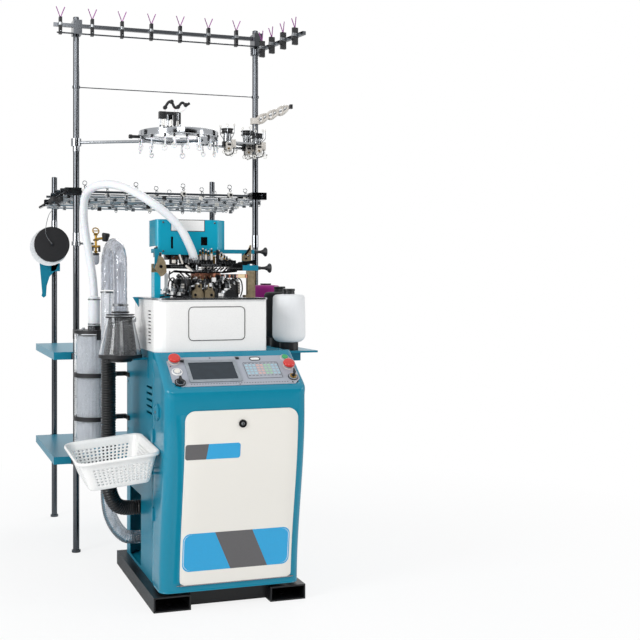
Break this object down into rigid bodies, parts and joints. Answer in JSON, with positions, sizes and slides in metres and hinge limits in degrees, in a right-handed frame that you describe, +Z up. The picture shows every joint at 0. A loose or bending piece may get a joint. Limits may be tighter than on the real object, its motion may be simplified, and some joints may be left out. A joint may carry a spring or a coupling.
{
  "type": "circular sock knitting machine with yarn creel",
  "caption": "Circular sock knitting machine on base rails, with lifting dial head, suction pipes, sock basket, side table and a pole creel with shelves and yarn guides.",
  "frame": {"origin": "on the floor, midway between the four anchor holes, under the needle cylinder's axis", "axes": "+X to the right along the front, +Y to the back, +Z up along the needle cylinder's axis"},
  "size_m": [1.0108, 1.8841, 2.1475],
  "materials": {
    "teal_paint": "semi-gloss teal paint",
    "teal_moulding": "semi-gloss teal moulding",
    "white_moulding": "satin white moulding",
    "white_sheet": "white powder coat",
    "white_hose": "ribbed white hose",
    "panel_foil": "plain grey foil",
    "display": "dark glossy screen",
    "red_button": "glossy red",
    "green_button": "glossy green",
    "black_plastic": "satin black",
    "machined_steel": "machined",
    "chrome": "bright plated",
    "motor_case": "dark coated casting",
    "copper_alloy": "brushed copper colour",
    "zinc_plate": "yellowish zinc plate",
    "clear_plastic": "clear",
    "grey_pipe": "pale ribbed pipe",
    "package_bracket": "mixed: foam disc, yarn, brass regulator",
    "yarn": "wound yarn"
  },
  "bodies": {
    "machine": {"base_frame": "teal_paint", "cabinet": "teal_paint", "front_cover": "teal_moulding", "control_panel": "panel_foil", "lcd_screen": "display", "bed_plate": "machined_steel", "head_cover": "white_sheet", "servo_motor": "motor_case", "drive_belt": "black_plastic", "bearing_housing": "machined_steel", "sinker_cap": "copper_alloy", "cam_box": "motor_case", "selector_units": "black_plastic", "pivot_column": "teal_paint", "pivot_plates": "zinc_plate", "latch_post": "zinc_plate", "suction_hose": "white_hose", "waste_tank": "clear_plastic", "tank_fittings": "black_plastic", "receiver_cone": "clear_plastic", "receiver_base": "black_plastic", "receiver_bend": "clear_plastic", "sock_pipe": "grey_pipe", "air_hose": "black_plastic", "blower": "motor_case", "basket": "white_moulding", "side_brackets": "teal_paint", "creel_poles": "chrome", "creel_shelves": "teal_paint", "creel_bars": "chrome", "yarn_sensors": "black_plastic", "tensioners": "black_plastic", "feeder_ring": "chrome", "feeder_units": "motor_case", "yarn_stand": "package_bracket", "yarn_cones": "yarn"},
    "front_door": {"front_door": "white_moulding"},
    "door_lock": {"door_lock": "machined_steel"},
    "estop_left": {"estop_left": "red_button"},
    "estop_right": {"estop_right": "red_button"},
    "start_button": {"start_button": "green_button"},
    "white_button": {"white_button": "white_moulding"},
    "selector_knob": {"selector_knob": "black_plastic"},
    "key_switch": {"key_switch": "machined_steel"},
    "motor_shaft": {"motor_pulley": "machined_steel"},
    "cylinder": {"needle_cylinder": "machined_steel", "needles": "chrome", "cylinder_pulley": "machined_steel"},
    "dial": {"dial": "machined_steel", "saw_ring": "machined_steel"},
    "dial_head": {"dial_arm": "machined_steel", "finger_units": "chrome", "lower_knob": "black_plastic"},
    "upper_head": {"upper_arm": "teal_paint", "top_cover": "teal_paint", "upper_knob": "black_plastic"},
    "outlet_flap": {"outlet_flap": "machined_steel"},
    "wheel_1": {"feeder_wheel_1": "black_plastic"},
    "wheel_2": {"feeder_wheel_2": "black_plastic"},
    "wheel_3": {"feeder_wheel_3": "black_plastic"}
  },
  "joints": [
    {"name": "door_hinge", "type": "hinge", "parent": "machine", "child": "front_door", "pos_m": [0.0135, -0.325, 0.084], "axis": [1, 0, 0], "range_deg": [0, 70]},
    {"name": "door_lock_turn", "type": "hinge", "parent": "front_door", "child": "door_lock", "pos_m": [0.0135, -0.4, 0.615], "axis": [0, -1, 0], "range_deg": [0, 90]},
    {"name": "estop_left_press", "type": "slide", "parent": "machine", "child": "estop_left", "axis": [0, 0.5793, -0.8151], "range_m": [0, 0.005]},
    {"name": "estop_right_press", "type": "slide", "parent": "machine", "child": "estop_right", "axis": [0, 0.5793, -0.8151], "range_m": [0, 0.005]},
    {"name": "start_press", "type": "slide", "parent": "machine", "child": "start_button", "axis": [0, 0.5793, -0.8151], "range_m": [0, 0.003], "stiffness_N_per_m": 300, "springref_m": -0.002},
    {"name": "white_press", "type": "slide", "parent": "machine", "child": "white_button", "axis": [0, 0.5793, -0.8151], "range_m": [0, 0.003], "stiffness_N_per_m": 300, "springref_m": -0.002},
    {"name": "selector_turn", "type": "hinge", "parent": "machine", "child": "selector_knob", "pos_m": [-0.186, -0.36337, 0.74959], "axis": [0, -0.5793, 0.8151], "range_deg": [-45, 45]},
    {"name": "key_turn", "type": "hinge", "parent": "machine", "child": "key_switch", "pos_m": [0.204, -0.35359, 0.75654], "axis": [0, -0.5793, 0.8151], "range_deg": [-90, 0]},
    {"name": "motor_spin", "type": "hinge", "parent": "machine", "child": "motor_shaft", "pos_m": [-0.11, 0.07, 0.95], "axis": [0, 0, 1], "continuous": true},
    {"name": "cylinder_spin", "type": "hinge", "parent": "machine", "child": "cylinder", "pos_m": [0, 0, 1], "axis": [0, 0, 1], "continuous": true},
    {"name": "head_lift", "type": "hinge", "parent": "machine", "child": "dial_head", "pos_m": [-0.1966, -0.1, 1.1266], "axis": [0, -1, 0], "range_deg": [0, 35], "deforming": ["suction_hose"]},
    {"name": "dial_spin", "type": "hinge", "parent": "dial_head", "child": "dial", "pos_m": [0, 0, 1.12], "axis": [0, 0, 1], "continuous": true},
    {"name": "upper_lift", "type": "hinge", "parent": "dial_head", "child": "upper_head", "pos_m": [-0.1966, -0.08, 1.1266], "axis": [0, -1, 0], "range_deg": [0, 15]},
    {"name": "flap_hinge", "type": "hinge", "parent": "machine", "child": "outlet_flap", "pos_m": [-0.363, -0.06, 0.799], "axis": [0, 1, 0], "range_deg": [0, 60], "stiffness_Nm_per_rad": 0.12, "springref_deg": -28.65},
    {"name": "wheel_1_spin", "type": "hinge", "parent": "machine", "child": "wheel_1", "pos_m": [0.205, 0.412, 1.68], "axis": [0, 0, 1], "continuous": true},
    {"name": "wheel_2_spin", "type": "hinge", "parent": "machine", "child": "wheel_2", "pos_m": [0.322, 0.515, 1.69], "axis": [0, 0, 1], "continuous": true},
    {"name": "wheel_3_spin", "type": "hinge", "parent": "machine", "child": "wheel_3", "pos_m": [0.345, 0.45, 1.67], "axis": [0, 0, 1], "continuous": true}
  ],
  "couplings": [
    {"joint": "motor_spin", "follows": "cylinder_spin", "ratio": 2.5},
    {"joint": "dial_spin", "follows": "cylinder_spin", "ratio": 1}
  ]
}
